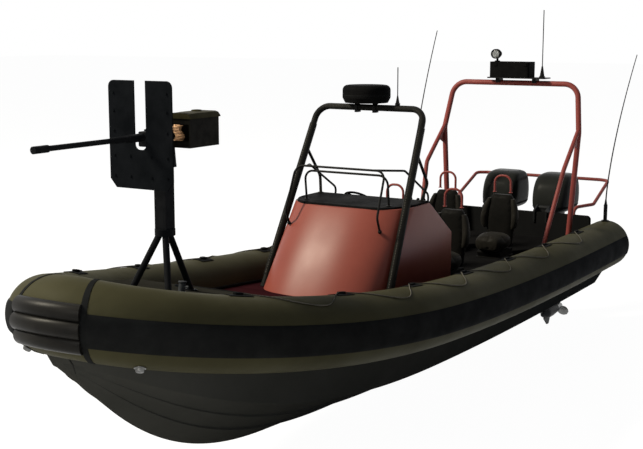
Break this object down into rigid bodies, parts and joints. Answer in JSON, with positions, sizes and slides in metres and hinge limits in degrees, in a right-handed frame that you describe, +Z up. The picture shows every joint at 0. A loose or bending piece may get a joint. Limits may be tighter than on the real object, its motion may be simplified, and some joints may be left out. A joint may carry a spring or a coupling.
{
  "type": "rigid inflatable boat",
  "caption": "Rigid-hull inflatable patrol boat with outboard motors that tilt and steer, a helm console under a hoop, bucket seats, a stern arch and a shielded gun on a tripod.",
  "frame": {"origin": "on the waterline, on the centreline, amidships between the tube's bow and its stern ends", "axes": "+X forward to the bow, +Y to port, +Z up"},
  "size_m": [11.538, 3.5102, 4.8864],
  "materials": {
    "hull": "satin",
    "deck_grey": "matt grip",
    "deck_red": "matt grip",
    "tube_skin": "satin coated fabric",
    "black_rubber": "matt",
    "bright_steel": "bright",
    "console_red": "satin gelcoat",
    "black_panel": "satin",
    "black_tube": "satin",
    "red_tube": "satin",
    "seat_base": "matt",
    "seat_cover": "matt grained",
    "motor_grey": "satin",
    "cowl_grey": "gloss",
    "motor_block": "cast",
    "gun_black": "matt",
    "box_olive": "matt",
    "belt_brass": "satin",
    "rope": "laid rope"
  },
  "bodies": {
    "boat": {"hull": "hull", "aft_sole": "deck_grey", "bow_locker": "deck_grey", "transom": "deck_grey", "fore_sole": "deck_red", "tube_port": "tube_skin", "tube_starboard": "tube_skin", "tube_bow": "tube_skin", "rub_strakes": "black_rubber", "bow_fender": "black_rubber", "seam_straps": "black_rubber", "grab_line_patches": "black_rubber", "bow_bitt": "bright_steel", "towing_eyes": "bright_steel", "console": "console_red", "console_dash": "black_panel", "radome": "black_panel", "equipment_box": "black_panel", "console_hoop": "black_tube", "grab_rails": "black_tube", "arch_platform": "black_tube", "antennas": "black_tube", "spotlight": "black_tube", "seat_handles": "red_tube", "stern_arch": "red_tube", "stern_rail": "red_tube", "seat_pods": "seat_base", "seat_cushions": "seat_cover", "seat_backs": "seat_cover", "motor_clamps": "motor_grey", "gun_tripod": "gun_black", "grab_line_port": "rope", "grab_line_starboard": "rope"},
    "gun_carriage": {"gun_yoke": "gun_black", "gun_shield": "gun_black"},
    "gun": {"gun_receiver": "gun_black", "gun_barrel": "gun_black", "ammo_box": "box_olive", "ammo_belt": "belt_brass"},
    "helm": {"helm_wheel": "black_tube"},
    "tilt_port": {"swivel_port": "motor_grey"},
    "motor_port": {"leg_port": "motor_grey", "cowl_port": "cowl_grey", "powerhead_port": "motor_block"},
    "screw_port": {"propeller_port": "bright_steel"},
    "tilt_starboard": {"swivel_starboard": "motor_grey"},
    "motor_starboard": {"leg_starboard": "motor_grey", "cowl_starboard": "cowl_grey", "powerhead_starboard": "motor_block"},
    "screw_starboard": {"propeller_starboard": "bright_steel"}
  },
  "joints": [
    {"name": "tilt_port", "type": "hinge", "parent": "boat", "child": "tilt_port", "pos_m": [-5.07, 0.42, 0.835], "axis": [0, 1, 0], "range_deg": [0, 65]},
    {"name": "steer_port", "type": "hinge", "parent": "tilt_port", "child": "motor_port", "pos_m": [-5.175, 0.42, 0.5], "axis": [0, 0, 1], "range_deg": [-30, 30]},
    {"name": "propeller_port", "type": "hinge", "parent": "motor_port", "child": "screw_port", "pos_m": [-5.73, 0.42, -0.88], "axis": [1, 0, 0], "continuous": true},
    {"name": "tilt_starboard", "type": "hinge", "parent": "boat", "child": "tilt_starboard", "pos_m": [-5.07, -0.42, 0.835], "axis": [0, 1, 0], "range_deg": [0, 65]},
    {"name": "steer_starboard", "type": "hinge", "parent": "tilt_starboard", "child": "motor_starboard", "pos_m": [-5.175, -0.42, 0.5], "axis": [0, 0, 1], "range_deg": [-30, 30]},
    {"name": "propeller_starboard", "type": "hinge", "parent": "motor_starboard", "child": "screw_starboard", "pos_m": [-5.73, -0.42, -0.88], "axis": [1, 0, 0], "continuous": true},
    {"name": "helm_turn", "type": "hinge", "parent": "boat", "child": "helm", "pos_m": [-0.70264, -0.425, 1.32476], "axis": [0.573, 0, -0.8195], "range_deg": [-540, 540]},
    {"name": "gun_traverse", "type": "hinge", "parent": "boat", "child": "gun_carriage", "pos_m": [3.57, 0, 2.26], "axis": [0, 0, 1], "range_deg": [-120, 120]},
    {"name": "gun_elevation", "type": "hinge", "parent": "gun_carriage", "child": "gun", "pos_m": [3.57, 0, 2.59], "axis": [0, -1, 0], "range_deg": [-10, 45]}
  ],
  "couplings": [
    {"joint": "steer_starboard", "follows": "steer_port", "ratio": 1},
    {"joint": "helm_turn", "follows": "steer_port", "ratio": 18}
  ]
}
